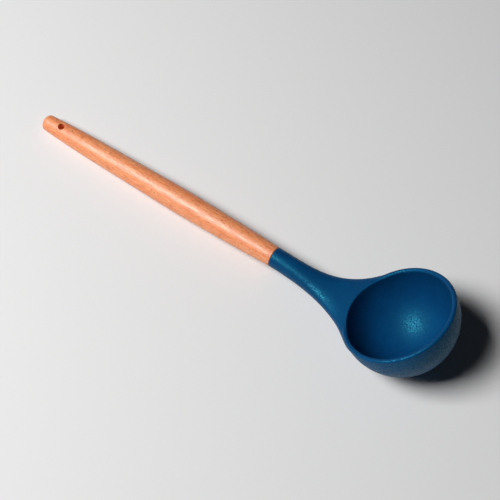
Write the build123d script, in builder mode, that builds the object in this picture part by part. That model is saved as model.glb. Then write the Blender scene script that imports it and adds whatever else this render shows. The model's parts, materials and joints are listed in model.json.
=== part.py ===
from build123d import *
from math import asin, atan2, copysign, cos, hypot, pi, radians, sin, sqrt, tan
import os

os.makedirs("parts", exist_ok=True)

# Soup ladle lying on a table: a turned wooden handle with a hanging hole, and a silicone
# head moulded over a stiff core, whose tang is glued into the handle.
# Millimetres. +X runs from the handle's tip to the bowl, +Z is up, the table is Z = 0.

# Wooden handle, from its tip to the joint with the head
handle_length = 197.4
tip_radius = 5.8
grip_radius = 8.75
joint_radius = 6.95
tip_dome_rise = 0.5
tip_edge_radius = 2.2
handle_end_chamfer = 0.35
grip_place_share = 0.626
# Pairs of place and radius: how far along, and how much of the swelling or the taper is done
swell_shares = ((0.27, 0.51), (0.63, 0.79))
taper_shares = ((0.38, 0.23), (0.74, 0.58))
lay_steps = 200

# Hanging hole, square to the handle and in the ladle's mirror plane
hole_radius = 2.5
hole_from_tip = 15.9
hole_edge_radius = 0.4

# Bowl: half a ball with a short straight wall above it and a full round lip
bowl_radius = 37.35
rim_rise = 1.9
rim_angle = 30.0
skin = 1.0
core_wall = 1.2
brim_inset = 0.2
# How deep the soft bowl is flattened where it lies on the table
rest_depth = 0.1

# Neck, from the joint to the near side of the rim
neck_length = 62.1
neck_rise = 3.4
neck_dip = 6.0
neck_edge_radius = 0.6
neck_pull_shares = (0.25, 0.55, 0.29)
keel_dip = 4.0
keel_angle = 22.5
keel_pull_share = 0.2
flare_angle = 51.0
flare_inset = 0.2
top_squareness = 2.65
keel_squareness = 2.3
section_count = 8
sink_length = 9.6
sink_depth = 1.4
sink_count = 2
outline_steps = 10
halvings = 30
core_neck_skin = 1.5
core_flare_share = 0.55
core_reach_share = 0.9
core_section_count = 5

# Tang of the core and the glue that fills its socket
tang_radius = 4.0
tang_length = 36.0
tang_end_chamfer = 0.8
groove_depth = 0.5
groove_width = 2.0
groove_pitch = 7.0
groove_count = 4
glue_gap = 0.15

# Sizes that follow from the ones above
wall = 2 * skin + core_wall
lip_radius = wall / 2
lip_circle = bowl_radius - lip_radius
rest_height = bowl_radius - rest_depth
tilt = radians(rim_angle)
joint = handle_length
bowl_center = (
    joint + neck_length + lip_circle * cos(tilt) + rim_rise * sin(tilt),
    neck_rise + lip_circle * sin(tilt) - rim_rise * cos(tilt),
)

# Side of the handle: places along it and the radius at each
grip_place = grip_place_share * handle_length
taper_length = handle_length - grip_place
side_points = [(tip_dome_rise, tip_radius)]
for place, swell in swell_shares:
    side_points.append((place * grip_place, tip_radius + swell * (grip_radius - tip_radius)))
side_points.append((grip_place, grip_radius))
for place, taper in taper_shares:
    radius = grip_radius - taper * (grip_radius - joint_radius)
    side_points.append((grip_place + place * taper_length, radius))
side_points.append((joint, joint_radius))
dome_radius = (tip_radius**2 + tip_dome_rise**2) / (2 * tip_dome_rise)
dome_middle = (dome_radius - sqrt(dome_radius**2 - tip_radius**2 / 4), tip_radius / 2)
with BuildLine() as handle_side:
    Spline(*side_points)


def lay_angle(place, radius):
    """Slope of the handle when the bowl and this place of the handle both touch the table."""
    along, rise = bowl_center[0] - place, bowl_center[1] + radius
    return asin(rest_height / hypot(along, rise)) - atan2(rise, along)


# The ladle lies on its bowl and on the lowest place of its handle
side_places = [handle_side.line @ (step / lay_steps) for step in range(lay_steps + 1)]
lay = min(lay_angle(place.X, place.Y) for place in side_places)
overall_length = bowl_center[0] * cos(lay) - bowl_center[1] * sin(lay) + bowl_radius
tip_height = rest_height - bowl_center[0] * sin(lay) - bowl_center[1] * cos(lay)

# Mirror plane of the ladle: its X runs along the handle and its Y is square to it, upwards
side_plane = Plane(
    origin=(-overall_length / 2, 0, tip_height),
    x_dir=(cos(lay), 0, sin(lay)),
    z_dir=(0, -1, 0),
)
handle_axis = Axis(side_plane.origin, side_plane.x_dir)

# The same plane turned to the rim, with its origin in the middle of the ball
bowl_plane = Plane(
    origin=side_plane.from_local_coords(bowl_center),
    x_dir=side_plane.x_dir * cos(tilt) + side_plane.y_dir * sin(tilt),
    z_dir=side_plane.z_dir,
)
bowl_axis = Axis(bowl_plane.origin, bowl_plane.y_dir)

# Flare of the neck, seen square to the handle: its outline leaves the joint straight and
# meets the bowl's outside at the flare angle, running the same way as the bowl there
flare = radians(flare_angle)
rim_start = neck_length - lip_radius * cos(tilt)
flare_reach = rim_start + bowl_radius * (1 - cos(flare)) * cos(tilt)
flare_width = bowl_radius * sin(flare) - flare_inset - joint_radius
flare_power = flare_reach / (tan(flare) * cos(tilt) * flare_width)
flare_rise = neck_rise + (flare_reach - neck_length) * tan(tilt)

# Line of the neck's widest places, seen from the side and measured from the joint
leave, sag, meet = [share * flare_reach for share in neck_pull_shares]
with BuildLine() as neck_line:
    Bezier(
        (0, 0),
        (leave, 0),
        (sag, -neck_dip),
        (flare_reach - meet, flare_rise - meet * tan(tilt)),
        (flare_reach, flare_rise),
    )

# Line of the neck's underside, which runs on to the bowl's outside and touches it
keel = radians(keel_angle)
ball_place = (bowl_center[0] - joint, bowl_center[1])
keel_end = (ball_place[0] - bowl_radius * sin(keel), ball_place[1] - bowl_radius * cos(keel))
keel_pull = keel_pull_share * keel_end[0]
with BuildLine() as keel_line:
    Bezier(
        (0, -joint_radius),
        (leave, -joint_radius),
        (sag, -joint_radius - keel_dip),
        (keel_end[0] - keel_pull, keel_end[1] + keel_pull * tan(keel)),
        keel_end,
    )


def keel_height(along):
    """Height of the neck's underside at a place along the neck."""
    near, far = 0.0, 1.0
    for halving in range(halvings):
        middle = (near + far) / 2
        if (keel_line.line @ middle).X < along:
            near = middle
        else:
            far = middle
    return (keel_line.line @ near).Y


def square_plane(place):
    """Plane square to the handle at a place of the neck: X is up, Z runs to the bowl."""
    return Plane(
        origin=side_plane.from_local_coords((joint + place[0], place[1])),
        x_dir=side_plane.y_dir,
        z_dir=side_plane.x_dir,
    )


def neck_sizes(place):
    """Half width of the neck at a place of its line, and its height above and below."""
    reached = place.X / flare_reach
    spread = flare_width * reached**flare_power
    top = joint_radius + (lip_radius - joint_radius) * reached**2
    return reached, spread, top, place.Y - keel_height(place.X)


def outline_section(place, half_width, top, depth, top_power, keel_power):
    """Closed cross-section, squarer or slimmer than an ellipse above and below."""
    with BuildSketch(square_plane(place)) as section:
        with BuildLine():
            for height, power, turn in ((top, top_power, 1), (-depth, keel_power, -1)):
                points = []
                for step in range(outline_steps + 1):
                    angle = pi * step / outline_steps
                    side = copysign(half_width * abs(cos(angle)) ** (2 / power), cos(angle))
                    points.append((height * sin(angle) ** (2 / power), side))
                Spline(*points, tangents=[(turn, 0), (-turn, 0)], tangent_scalars=[1, 1])
        make_face()
    return section.sketch


def neck_section(part_way):
    """Outside of the neck at a share of the neck's line."""
    place = neck_line.line @ part_way
    reached, spread, top, depth = neck_sizes(place)
    return outline_section(
        (place.X, place.Y),
        joint_radius + spread,
        top,
        depth,
        2 + (top_squareness - 2) * reached,
        2 + (keel_squareness - 2) * reached,
    )


def sunk_section(part_way):
    """Cross-section beyond the flare, under the bowl's outside by more and more."""
    beyond = part_way * sink_length
    sunk = flare_inset + (sink_depth - flare_inset) * part_way**2
    along, height = flare_reach + beyond, flare_rise + beyond * tan(tilt)
    chord_offset = bowl_radius * cos(flare) - beyond / cos(tilt)
    half_width = sqrt(bowl_radius**2 - chord_offset**2)
    depth = height - ball_place[1] + sqrt(bowl_radius**2 - (ball_place[0] - along) ** 2)
    return outline_section(
        (along, height), half_width - sunk, lip_radius, depth - sunk, top_squareness, 2
    )


def core_section(part_way):
    """Oval of the core's neck, with silicone all round it."""
    place = neck_line.line @ part_way
    reached, spread, top, depth = neck_sizes(place)
    with BuildSketch(square_plane((place.X, place.Y))) as section:
        with Locations(((top - depth) / 2, 0)):
            Ellipse(
                (top + depth) / 2 - core_neck_skin,
                joint_radius + core_flare_share * spread - core_neck_skin,
            )
    return section.sketch


def hollow_cut(radius):
    """Take the inside of the bowl, and all that is above it, out of the part in hand."""
    with BuildSketch(bowl_plane) as hollow:
        with BuildLine():
            CenterArc((0, 0), radius, -90, 90)
            Polyline((radius, 0), (radius, bowl_radius), (0, bowl_radius), (0, -radius))
        make_face()
    revolve(hollow.sketch, axis=bowl_axis, mode=Mode.SUBTRACT)


# Outer shape of the head: the neck, cut out where the bowl is open, and the bowl itself
with BuildPart() as head:
    for step in range(section_count):
        add(neck_section(step / (section_count - 1)))
    for step in range(sink_count):
        add(sunk_section((step + 1) / sink_count))
    loft()
    hollow_cut(bowl_radius - wall + brim_inset)
    with BuildSketch(bowl_plane):
        with BuildLine():
            CenterArc((0, 0), bowl_radius, -90, 90)
            Line((bowl_radius, 0), (bowl_radius, rim_rise))
            CenterArc((lip_circle, rim_rise), lip_radius, 0, 180)
            Line((bowl_radius - wall, rim_rise), (bowl_radius - wall, 0))
            CenterArc((0, 0), bowl_radius - wall, 0, -90)
            Line((0, wall - bowl_radius), (0, -bowl_radius))
        make_face()
    revolve(axis=bowl_axis)
    joint_face = head.faces().filter_by(GeomType.PLANE).sort_by(handle_axis)[0]
    fillet(joint_face.edges(), radius=neck_edge_radius)
    with BuildSketch(Plane.XY):
        with Locations((bowl_plane.origin.X, 0)):
            Circle(lip_circle)
    extrude(amount=-rest_depth, mode=Mode.SUBTRACT)

# Core inside the silicone: a thin bowl and a slim neck
core_outside = bowl_radius - skin
core_inside = core_outside - core_wall
with BuildPart() as buried_core:
    for step in range(core_section_count):
        add(core_section(core_reach_share * step / (core_section_count - 1)))
    loft()
    hollow_cut(core_inside + core_wall / 2)
    with BuildSketch(bowl_plane):
        with BuildLine():
            CenterArc((0, 0), core_outside, -90, 90)
            Line((core_outside, 0), (core_outside, rim_rise))
            Line((core_outside, rim_rise), (core_inside, rim_rise))
            Line((core_inside, rim_rise), (core_inside, 0))
            CenterArc((0, 0), core_inside, 0, -90)
            Line((0, -core_inside), (0, -core_outside))
        make_face()
    revolve(axis=bowl_axis)

# Silicone skin: the head less the core that it is moulded over
with BuildPart() as silicone_head:
    add(head.part)
    add(buried_core.part, mode=Mode.SUBTRACT)
silicone_head.part.label = "silicone_head"

# Half outline of the tang, from its end in the handle to the joint, with grooves for glue
with BuildSketch() as tang_outline:
    with Locations((joint - tang_length / 2, tang_radius / 2)):
        Rectangle(tang_length, tang_radius)
    end_corner = tang_outline.vertices().group_by(Axis.X)[0].sort_by(Axis.Y)[-1]
    chamfer(end_corner, length=tang_end_chamfer)
    with Locations((joint - tang_length / 2, tang_radius)):
        with GridLocations(groove_pitch, 0, groove_count, 1):
            Rectangle(groove_width, 2 * groove_depth, mode=Mode.SUBTRACT)

# Stiff core: the buried part and the tang behind it, in one moulding
with BuildPart() as nylon_core:
    add(buried_core.part)
    with BuildSketch(side_plane):
        add(tang_outline.sketch)
    revolve(axis=handle_axis)
nylon_core.part.label = "nylon_core"

# Glue: fills the socket round the tang, its grooves and its end
socket_length = tang_length + glue_gap
socket_radius = tang_radius + glue_gap
with BuildPart() as tang_glue:
    with BuildSketch(side_plane):
        with Locations((joint - socket_length / 2, socket_radius / 2)):
            Rectangle(socket_length, socket_radius)
        add(tang_outline.sketch, mode=Mode.SUBTRACT)
    revolve(axis=handle_axis)
tang_glue.part.label = "tang_glue"

# Wooden handle: turned along its whole length, then drilled for the tang and for hanging
with BuildPart() as wood_handle:
    with BuildSketch(side_plane):
        with BuildLine():
            ThreePointArc((0, 0), dome_middle, side_points[0])
            add(handle_side.line)
            Polyline(side_points[-1], (joint, 0), (0, 0))
        make_face()
    revolve(axis=handle_axis)
    tip_edge, joint_edge = wood_handle.edges().filter_by(Edge.is_closed).sort_by(handle_axis)
    fillet(tip_edge, radius=tip_edge_radius)
    chamfer(joint_edge, length=handle_end_chamfer)
    with BuildSketch(side_plane):
        with Locations((joint - socket_length / 2, socket_radius / 2)):
            Rectangle(socket_length, socket_radius)
    revolve(axis=handle_axis, mode=Mode.SUBTRACT)
    hole_plane = Plane(
        origin=side_plane.from_local_coords((hole_from_tip, 0)), z_dir=side_plane.y_dir
    )
    with BuildSketch(hole_plane):
        Circle(hole_radius)
    extrude(amount=grip_radius, both=True, mode=Mode.SUBTRACT)
    hole_wall = wood_handle.faces().filter_by(GeomType.CYLINDER).sort_by(handle_axis)[0]
    fillet(hole_wall.edges().filter_by(GeomType.LINE, reverse=True), radius=hole_edge_radius)
wood_handle.part.label = "wood_handle"

for piece in (wood_handle, tang_glue, nylon_core, silicone_head):
    export_step(piece.part, f"parts/{piece.part.label}.step")
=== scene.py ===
import json
import math

import bpy
import numpy as np
from mathutils import Matrix, Vector


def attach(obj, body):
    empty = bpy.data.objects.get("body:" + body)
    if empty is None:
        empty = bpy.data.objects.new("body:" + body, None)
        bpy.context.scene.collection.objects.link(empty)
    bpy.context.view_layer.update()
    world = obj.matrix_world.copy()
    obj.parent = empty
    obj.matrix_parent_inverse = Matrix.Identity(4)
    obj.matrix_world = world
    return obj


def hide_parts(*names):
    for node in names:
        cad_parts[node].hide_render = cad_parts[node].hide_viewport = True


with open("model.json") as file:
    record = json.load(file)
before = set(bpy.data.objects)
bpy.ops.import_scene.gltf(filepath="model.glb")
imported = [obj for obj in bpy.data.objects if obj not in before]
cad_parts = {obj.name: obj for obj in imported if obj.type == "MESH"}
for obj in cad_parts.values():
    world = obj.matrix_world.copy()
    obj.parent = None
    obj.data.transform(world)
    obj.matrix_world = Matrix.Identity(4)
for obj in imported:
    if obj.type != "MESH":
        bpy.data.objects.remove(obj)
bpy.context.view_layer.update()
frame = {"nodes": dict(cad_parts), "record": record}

# Sizes of the ladle in millimetres, as in the CAD model
MM = 0.001
handle_length = 197.4
tip_radius = 5.8
grip_radius = 8.75
joint_radius = 6.95
tip_dome_rise = 0.5
tip_edge_radius = 2.2
handle_end_chamfer = 0.35
grip_place_share = 0.626
swell_shares = ((0.27, 0.51), (0.63, 0.79))
taper_shares = ((0.38, 0.23), (0.74, 0.58))
hole_radius = 2.5
hole_from_tip = 15.9
hole_edge_radius = 0.4
socket_radius = 4.15
socket_length = 36.15
bowl_radius = 37.35
rim_rise = 1.9
tilt = math.radians(30)
wall = 3.2
neck_length = 62.1
neck_rise = 3.4
neck_dip = 6.0
neck_edge_radius = 0.6
neck_pull_shares = (0.25, 0.55, 0.29)
keel_dip = 4.0
keel_angle = math.radians(22.5)
keel_pull_share = 0.2
flare = math.radians(51)
flare_inset = 0.2
top_squareness = 2.65
keel_squareness = 2.3
section_count = 8
sink_length = 9.6
sink_depth = 1.4
sink_count = 2

# Sizes that follow, and those of the finer edges that only the looks have
lip_radius = wall / 2
lip_circle = bowl_radius - lip_radius
joint = handle_length
bowl_center = np.array((
    joint + neck_length + lip_circle * math.cos(tilt) + rim_rise * math.sin(tilt),
    neck_rise + lip_circle * math.sin(tilt) - rim_rise * math.cos(tilt),
    0,
))
rim_start = neck_length - lip_radius * math.cos(tilt)
flare_reach = rim_start + bowl_radius * (1 - math.cos(flare)) * math.cos(tilt)
flare_width = bowl_radius * math.sin(flare) - flare_inset - joint_radius
flare_power = flare_reach / (math.tan(flare) * math.cos(tilt) * flare_width)
flare_rise = neck_rise + (flare_reach - neck_length) * math.tan(tilt)
brim_edge_radius = 0.5
rim_blend = 0.5
keel_blend = 2.0
blend_depth = 8.0
least_blend_share = 0.01

# How fine the curves and the meshes are, in samples and in millimetres
curve_samples = 2001
neck_samples = 800
handle_cell = 0.42
head_cell = 0.52
margin = 1.0
gradient_step = 0.005
settle_rounds = 4
least_slope_squared = 0.2
tiny = 1e-9

# The ladle's own axes, in which a point has the places s, v and y: along the handle from
# its tip, up in the mirror plane, and across
hang_hole = frame["record"]["mounts"][0]
up = Vector(hang_hole["axis"]).normalized()
across = Vector((0, -1, 0))
along = up.cross(across)
tip = Vector(hang_hole["pos_m"]) - along * hole_from_tip * MM
to_frame = Matrix.Translation(tip) @ Matrix((along, up, across)).transposed().to_4x4()
height_axis, tip_height = np.array(to_frame[2][:3]), tip.z / MM


def smooth_curve(places, values):
    """Natural cubic spline through the values, as a function of place."""
    places, values = np.array(places, float), np.array(values, float)
    count, gaps = len(places), np.diff(places)
    slopes = np.diff(values) / gaps
    system, right_side = np.eye(count), np.zeros(count)
    for i in range(1, count - 1):
        system[i, i - 1:i + 2] = gaps[i - 1], 2 * (gaps[i - 1] + gaps[i]), gaps[i]
        right_side[i] = 6 * (slopes[i] - slopes[i - 1])
    bends = np.linalg.solve(system, right_side)

    def curve(place):
        i = np.clip(np.searchsorted(places, place) - 1, 0, count - 2)
        step, gap = place - places[i], gaps[i]
        start = slopes[i] - gap * (2 * bends[i] + bends[i + 1]) / 6
        turn = (bends[i + 1] - bends[i]) / (6 * gap)
        return values[i] + step * (start + step * (bends[i] / 2 + step * turn))

    return curve


def rounded_meet(first, second, radius):
    """What lies in both shapes, with its edge rounded to the radius."""
    deep = np.minimum(np.maximum(first, second), -radius)
    return deep + np.hypot(np.maximum(first + radius, 0), np.maximum(second + radius, 0))


def smooth_join(first, second, width):
    """Both shapes as one, with the crease between them filled over the width."""
    near = np.maximum(width - np.abs(first - second), 0) / width
    return np.minimum(first, second) - near * near * width / 4


# Radius of the turned handle at each place along it
grip_place = grip_place_share * handle_length
side_points = [(tip_dome_rise, tip_radius)]
for share, swell in swell_shares:
    side_points.append((share * grip_place, tip_radius + swell * (grip_radius - tip_radius)))
side_points.append((grip_place, grip_radius))
for share, taper in taper_shares:
    place = grip_place + share * (handle_length - grip_place)
    side_points.append((place, grip_radius - taper * (grip_radius - joint_radius)))
side_points.append((joint, joint_radius))
handle_radius = smooth_curve(*zip(*side_points))
dome_radius = (tip_radius**2 + tip_dome_rise**2) / (2 * tip_dome_rise)


def handle_distance(points):
    """Signed distance to the wooden handle: below zero in the wood."""
    s, v, y = np.moveaxis(points, -1, 0)
    radius = np.hypot(v, y)
    side = radius - handle_radius(np.clip(s, 0, joint))
    dome = np.hypot(s - dome_radius, radius) - dome_radius
    wood = np.where(s < grip_radius, rounded_meet(side, dome, tip_edge_radius), side)
    end = s - joint
    wood = np.maximum(wood, np.maximum(end, (side + end + handle_end_chamfer) / math.sqrt(2)))
    hole = hole_radius - np.hypot(s - hole_from_tip, y)
    wood = np.where(s < 2 * hole_from_tip, rounded_meet(wood, hole, hole_edge_radius), wood)
    socket = np.maximum(radius - socket_radius, joint - socket_length - s)
    return np.maximum(wood, -socket)


def bezier(pulls):
    """Points of a Bezier curve, and its length up to each."""
    t = np.linspace(0, 1, curve_samples)[:, None]
    order = len(pulls) - 1
    line = sum(
        math.comb(order, i) * t**i * (1 - t)**(order - i) * np.array(pull, float)
        for i, pull in enumerate(pulls)
    )
    steps = np.hypot(*np.diff(line, axis=0).T)
    return line[:, 0], line[:, 1], np.concatenate(([0], np.cumsum(steps)))


def neck_stations():
    """Sizes of the neck's cross-sections: from the joint to the flare's end, and beyond it."""
    leave, sag, meet = [share * flare_reach for share in neck_pull_shares]
    line_x, line_v, line_length = bezier([
        (0, 0), (leave, 0), (sag, -neck_dip),
        (flare_reach - meet, flare_rise - meet * math.tan(tilt)), (flare_reach, flare_rise),
    ])
    ball_x, ball_v = bowl_center[0] - joint, bowl_center[1]
    touch_x = ball_x - bowl_radius * math.sin(keel_angle)
    touch_v = ball_v - bowl_radius * math.cos(keel_angle)
    pull = keel_pull_share * touch_x
    under_x, under_v, _ = bezier([
        (0, -joint_radius), (leave, -joint_radius), (sag, -joint_radius - keel_dip),
        (touch_x - pull, touch_v + pull * math.tan(keel_angle)), (touch_x, touch_v),
    ])
    x = np.interp(np.linspace(0, line_length[-1], section_count), line_length, line_x)
    part_way = x / flare_reach
    center = np.interp(x, line_x, line_v)
    flare_columns = (
        x, center,
        joint_radius + flare_width * part_way**flare_power,
        joint_radius + (lip_radius - joint_radius) * part_way**2,
        center - np.interp(x, under_x, under_v),
        2 + (top_squareness - 2) * part_way,
        2 + (keel_squareness - 2) * part_way,
    )
    part_way = np.arange(1, sink_count + 1) / sink_count
    beyond = part_way * sink_length
    sunk = flare_inset + (sink_depth - flare_inset) * part_way**2
    x = flare_reach + beyond
    center = flare_rise + beyond * math.tan(tilt)
    offset = bowl_radius * math.cos(flare) - beyond / math.cos(tilt)
    even = np.ones(sink_count)
    sunk_columns = (
        x, center,
        np.sqrt(bowl_radius**2 - offset**2) - sunk,
        lip_radius * even,
        center - ball_v + np.sqrt(bowl_radius**2 - (ball_x - x)**2) - sunk,
        top_squareness * even,
        2 * even,
    )
    return [np.concatenate(pair) for pair in zip(flare_columns, sunk_columns)]


def neck_table():
    """Centre height, half width, height, depth and the two squarenesses along the neck."""
    stations, *columns = neck_stations()
    places = np.linspace(0, stations[-1], neck_samples)
    return places, [smooth_curve(stations, column)(places) for column in columns]


neck_places, neck_columns = neck_table()
neck_slopes = [np.gradient(column, neck_places) for column in neck_columns[:4]]


def neck_distance(points):
    """Signed distance to the neck, from its squarish section at each place."""
    s, v, y = np.moveaxis(points, -1, 0)
    x = s - joint
    center, half_width, top, keel, top_power, keel_power = [
        np.interp(x, neck_places, column) for column in neck_columns
    ]
    center_slope, width_slope, top_slope, keel_slope = [
        np.interp(x, neck_places, slope) for slope in neck_slopes
    ]
    rise = v - center
    above = rise > 0
    height = np.where(above, top, keel)
    height_slope = np.where(above, top_slope, keel_slope)
    power = np.where(above, top_power, keel_power)
    sideways, upwards = np.abs(y) / half_width, np.abs(rise) / height
    total = np.maximum(sideways**power + upwards**power, tiny)
    reach = total**(1 / power)
    scale = reach / total
    by_y = scale * sideways**(power - 1) / half_width
    by_v = scale * upwards**(power - 1) / height
    by_x = by_y * sideways * width_slope + by_v * upwards * height_slope
    by_x += np.where(above, by_v, -by_v) * center_slope
    steep = np.sqrt(by_y**2 + by_v**2 + by_x**2)
    return (reach - 1) / np.maximum(steep, 1 / (2 * half_width))


def head_distance(points):
    """Signed distance to the silicone head: below zero in the silicone."""
    offset = points - bowl_center
    height = offset[..., 1] * math.cos(tilt) - offset[..., 0] * math.sin(tilt)
    radius = np.hypot(offset[..., 0] * math.cos(tilt) + offset[..., 1] * math.sin(tilt),
                      offset[..., 2])
    ball = np.hypot(radius, np.minimum(height, 0))
    over = np.maximum(height - rim_rise, 0)
    bowl = np.hypot(ball - lip_circle, over) - lip_radius
    neck = neck_distance(points)
    past_neck = points[..., 0] - joint - flare_reach - sink_length
    hollow = ball - (bowl_radius - wall)
    neck = rounded_meet(np.maximum(neck, past_neck), -hollow, brim_edge_radius)
    width = np.interp(height, (-blend_depth, 0), (keel_blend, rim_blend))
    width = width * np.clip((ball - bowl_radius + wall) / lip_radius, least_blend_share, 1)
    width = width * np.clip(-past_neck / sink_length, least_blend_share, 1)
    head = smooth_join(neck, bowl, width)
    head = rounded_meet(head, joint - points[..., 0], neck_edge_radius)
    return np.maximum(head, -(points @ height_axis + tip_height))


def gradient(distance, points):
    """Direction in which the distance grows, by differences."""
    sides = []
    for shift in np.eye(3) * gradient_step:
        change = distance(points + shift) - distance(points - shift)
        sides.append(change / (2 * gradient_step))
    return np.stack(sides, -1)


def surface_net(distance, low, high, cell):
    """Points and quads on the zero surface of a distance, one point in each cell it crosses."""
    axes = [np.arange(a, b + cell, cell) for a, b in zip(low, high)]
    values = np.empty([len(a) for a in axes])
    for i, place in enumerate(axes[0]):
        plane = np.stack(np.meshgrid([place], axes[1], axes[2], indexing="ij"), -1)
        values[i] = distance(plane)[0]
    inside = values < 0
    shape = [n - 1 for n in values.shape]
    corner_sum = sum(
        inside[i:i + shape[0], j:j + shape[1], k:k + shape[2]].astype(int)
        for i in (0, 1) for j in (0, 1) for k in (0, 1)
    )
    cells = np.argwhere((corner_sum > 0) & (corner_sum < 8))
    number = np.full(shape, -1)
    number[tuple(cells.T)] = np.arange(len(cells))
    total, crossings = np.zeros((len(cells), 3)), np.zeros(len(cells))
    quads = []
    for axis in range(3):
        step = np.eye(3, dtype=int)[axis]
        others = [(axis + 1) % 3, (axis + 2) % 3]
        for b in (0, 1):
            for c in (0, 1):
                start = cells.copy()
                start[:, others[0]] += b
                start[:, others[1]] += c
                first = values[tuple(start.T)]
                second = values[tuple((start + step).T)]
                crossed = (first < 0) != (second < 0)
                share = first[crossed] / (first[crossed] - second[crossed])
                total[crossed] += start[crossed] + share[:, None] * step
                crossings[crossed] += 1
        before = [slice(None, -1) if i == axis else slice(None) for i in range(3)]
        after = [slice(1, None) if i == axis else slice(None) for i in range(3)]
        edges = np.argwhere(inside[tuple(before)] != inside[tuple(after)])
        ring = []
        for b, c in ((-1, -1), (0, -1), (0, 0), (-1, 0)):
            around = edges.copy()
            around[:, others[0]] += b
            around[:, others[1]] += c
            ring.append(number[tuple(around.T)])
        ring = np.stack(ring, -1)
        outward = inside[tuple(edges.T)]
        quads.append(np.where(outward[:, None], ring, ring[:, ::-1]))
    return np.array(low) + total / crossings[:, None] * cell, np.concatenate(quads)


def settle(distance, points, quads):
    """Spread the points evenly over the surface, and move each exactly onto it."""
    ends = np.concatenate([quads, np.roll(quads, 1, axis=1)]).ravel()
    others = np.concatenate([np.roll(quads, 1, axis=1), quads]).ravel()
    share = 1 / np.bincount(ends, minlength=len(points))
    for turn in range(settle_rounds):
        if turn < settle_rounds - 1:
            middle = np.stack([
                np.bincount(ends, points[others, i], len(points)) for i in range(3)
            ], -1) * share[:, None]
            points = points + (middle - points) / 2
        slope = gradient(distance, points)
        steep = np.maximum((slope**2).sum(-1), least_slope_squared)
        points = points - (distance(points) / steep)[:, None] * slope
    return points


def surface_piece(name, distance, low, high, cell, node):
    """A mesh on a distance's surface, smooth by the surface's own normals, for a CAD node."""
    points, quads = surface_net(distance, low, high, cell)
    points = settle(distance, points, quads)
    normals = gradient(distance, points)
    mesh = bpy.data.meshes.new(name)
    mesh.from_pydata(points * MM, [], quads.tolist())
    mesh.validate()
    mesh.shade_smooth()
    mesh.normals_split_custom_set_from_vertices(
        normals / np.linalg.norm(normals, axis=1, keepdims=True))
    mesh.transform(to_frame)
    piece = bpy.data.objects.new(name, mesh)
    bpy.context.scene.collection.objects.link(piece)
    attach(piece, "root")
    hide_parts(node)
    return piece


# The two pieces that show
handle = surface_piece(
    "turned_handle", handle_distance,
    (-margin, -grip_radius - margin, -grip_radius - margin),
    (joint + margin, grip_radius + margin, grip_radius + margin),
    handle_cell, "wood_handle",
)
bowl_reach = bowl_radius + 3 * margin
head = surface_piece(
    "moulded_head", head_distance,
    (joint - margin, bowl_center[1] - bowl_reach, -bowl_reach),
    (bowl_center[0] + bowl_reach, bowl_center[1] + bowl_reach, bowl_reach),
    head_cell, "silicone_head",
)


def colour(red, green, blue):
    """Scene-linear colour from a screen colour of 0 to 255."""
    screen = np.array((red, green, blue)) / 255
    linear = np.where(screen > 0.04045, ((screen + 0.055) / 1.055)**2.4, screen / 12.92)
    return (*linear.tolist(), 1)


class Material:
    """A node material, with short calls for its nodes."""

    def __init__(self, name):
        self.material = bpy.data.materials.new(name)
        self.material.use_nodes = True
        self.tree = self.material.node_tree
        self.shader = self.tree.nodes["Principled BSDF"]

    def node(self, kind, inputs=None, **settings):
        node = self.tree.nodes.new(kind)
        for key, value in settings.items():
            setattr(node, key, value)
        for key, value in (inputs or {}).items():
            self.set(node, key, value)
        return node

    def set(self, node, key, value):
        if isinstance(value, bpy.types.NodeSocket):
            self.tree.links.new(value, node.inputs[key])
        else:
            node.inputs[key].default_value = value

    def noise(self, stretch, detail, roughness):
        """Noise whose lumps are about as long as the stretch along each of the ladle's axes."""
        inputs = {"Vector": ladle_place(self, stretch), "Scale": 1.0, "Detail": detail,
                  "Roughness": roughness}
        return self.node("ShaderNodeTexNoise", inputs).outputs["Fac"]

    def ramp(self, factor, low, high):
        """0 below the low value, 1 above the high one."""
        inputs = {"Value": factor, "From Min": low, "From Max": high}
        return self.node("ShaderNodeMapRange", inputs).outputs["Result"]

    def spread(self, factor, low, high):
        """The low value where the factor is 0, the high one where it is 1."""
        inputs = {"Value": factor, "To Min": low, "To Max": high}
        return self.node("ShaderNodeMapRange", inputs).outputs["Result"]

    def mix(self, factor, first, second):
        node = self.node("ShaderNodeMix", data_type="RGBA")
        self.set(node, 0, factor)
        self.set(node, 6, first)
        self.set(node, 7, second)
        return node.outputs[2]

    def bump(self, height, strength, distance):
        inputs = {"Height": height, "Strength": strength, "Distance": distance}
        return self.node("ShaderNodeBump", inputs).outputs["Normal"]


def ladle_place(material, stretch):
    """Place on the ladle in its own axes, divided by the stretch of each in millimetres."""
    place = material.node("ShaderNodeTexCoord").outputs["Object"]
    turn = to_frame.to_3x3().inverted().to_euler()
    turned = material.node("ShaderNodeVectorRotate", {"Vector": place}, rotation_type="EULER_XYZ")
    turned.inputs["Rotation"].default_value = turn
    scaled = material.node("ShaderNodeVectorMath", {0: turned.outputs[0]}, operation="MULTIPLY")
    scaled.inputs[1].default_value = [1 / (MM * size) for size in stretch]
    return scaled.outputs[0]


def beech():
    """Sanded beech: soft bands and short dark flecks along the handle."""
    look = Material("beech")
    bands = look.noise((60, 3.2, 3.2), 3, 0.55)
    fibres = look.noise((9, 0.32, 0.32), 2, 0.6)
    flecks = look.noise((2.2, 0.42, 0.42), 1, 0.5)
    base = look.mix(look.ramp(bands, 0.3, 0.7), colour(251, 156, 100), colour(255, 180, 126))
    base = look.mix(look.ramp(fibres, 0.38, 0.68), base, colour(226, 116, 62))
    base = look.mix(look.ramp(flecks, 0.6, 0.7), base, colour(176, 90, 54))
    look.set(look.shader, "Base Color", base)
    look.set(look.shader, "Roughness", look.spread(fibres, 0.3, 0.66))
    look.shader.inputs["Specular IOR Level"].default_value = 1.0
    look.set(look.shader, "Normal", look.bump(fibres, 0.4, 0.0001))
    return look.material


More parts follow.
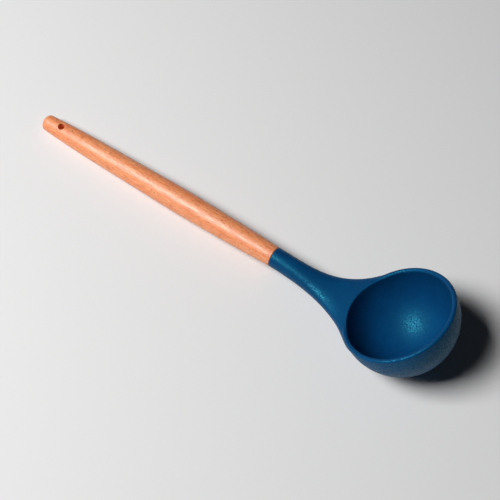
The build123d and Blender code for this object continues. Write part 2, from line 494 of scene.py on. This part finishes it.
def silicone():
    """Moulded silicone in dark teal blue, matte with a fine grain of smoother specks."""
    look = Material("silicone")
    cloud = look.noise((14, 14, 14), 3, 0.5)
    grain = look.noise((0.55, 0.55, 0.55), 2, 0.6)
    base = look.mix(look.ramp(cloud, 0.3, 0.7), colour(0, 48, 97), colour(0, 56, 107))
    look.set(look.shader, "Base Color", base)
    look.set(look.shader, "Roughness", look.spread(look.ramp(grain, 0.42, 0.58), 0.38, 0.9))
    look.shader.inputs["Specular IOR Level"].default_value = 0.9
    look.shader.inputs["Specular Tint"].default_value = (0.1, 0.8, 1, 1)
    look.set(look.shader, "Normal", look.bump(grain, 0.4, 0.0001))
    return look.material


def inner(name, dark, light, roughness):
    """A plain moulded inner piece, slightly mottled."""
    look = Material(name)
    cloud = look.noise((4, 4, 4), 3, 0.5)
    look.set(look.shader, "Base Color", look.mix(cloud, colour(*dark), colour(*light)))
    look.shader.inputs["Roughness"].default_value = roughness
    look.set(look.shader, "Normal", look.bump(cloud, 0.1, 0.0001))
    return look.material


def finish(piece, material):
    """Give a piece this one material."""
    piece.data.materials.clear()
    piece.data.materials.append(material)


finish(handle, beech())
finish(head, silicone())
finish(frame["nodes"]["nylon_core"], inner("nylon", (34, 34, 37), (44, 44, 48), 0.5))
finish(frame["nodes"]["tang_glue"], inner("epoxy", (196, 168, 104), (214, 190, 130), 0.25))

# Pale floor
floor_half = 3.0
floor_mesh = bpy.data.meshes.new("floor")
corners = [(-floor_half, -floor_half, 0), (floor_half, -floor_half, 0),
           (floor_half, floor_half, 0), (-floor_half, floor_half, 0)]
floor_mesh.from_pydata(corners, [], [(0, 1, 2, 3)])
floor = bpy.data.objects.new("floor", floor_mesh)
bpy.context.scene.collection.objects.link(floor)
pale = Material("pale_floor")
pale.shader.inputs["Base Color"].default_value = (0.80, 0.80, 0.80, 1)
pale.shader.inputs["Roughness"].default_value = 0.9
pale.shader.inputs["Specular IOR Level"].default_value = 0.1
finish(floor, pale.material)

# Camera at the photo's angle: the photo's width spans the view of a 75 mm lens
camera_elevation = math.radians(62.803)
camera_azimuth = math.radians(34.84)
camera_distance = 0.705743
camera_target = Vector((0.013386, 0.000861, 0))
camera_lens = 75.0
camera_sensor_width = 36.0
sideways = Vector((math.cos(camera_azimuth), math.sin(camera_azimuth), 0))
back = Vector((
    math.sin(camera_azimuth) * math.cos(camera_elevation),
    -math.cos(camera_azimuth) * math.cos(camera_elevation),
    math.sin(camera_elevation),
))
upwards = back.cross(sideways)
camera_data = bpy.data.cameras.new("camera")
camera_data.lens = camera_lens
camera_data.sensor_width = camera_sensor_width
camera_data.clip_start = 0.01
camera = bpy.data.objects.new("camera", camera_data)
bpy.context.scene.collection.objects.link(camera)
turn = Matrix((sideways, upwards, back)).transposed().to_4x4()
camera.matrix_world = Matrix.Translation(camera_target + back * camera_distance) @ turn
bpy.context.scene.camera = camera


# One soft square lamp from the left, at an azimuth from +X, and a weak even sky
lamp_azimuth = math.radians(222)
lamp_elevation = math.radians(54)
lamp_distance = 1.6
lamp_size = 0.6
lamp_power = 27.5
lamp_aim = Vector((0.05, 0, 0))
away = Vector((
    math.cos(lamp_azimuth) * math.cos(lamp_elevation),
    math.sin(lamp_azimuth) * math.cos(lamp_elevation),
    math.sin(lamp_elevation),
))
lamp_data = bpy.data.lights.new("key", "AREA")
lamp_data.size = lamp_size
lamp_data.energy = lamp_power
lamp = bpy.data.objects.new("key", lamp_data)
bpy.context.scene.collection.objects.link(lamp)
lamp.location = lamp_aim + away * lamp_distance
lamp.rotation_euler = away.to_track_quat("Z", "Y").to_euler()
world = bpy.data.worlds.new("sky")
world.use_nodes = True
world.node_tree.nodes["Background"].inputs["Color"].default_value = (1, 1, 1, 1)
world.node_tree.nodes["Background"].inputs["Strength"].default_value = 0.01
bpy.context.scene.world = world
bpy.context.scene.view_settings.view_transform = "Standard"
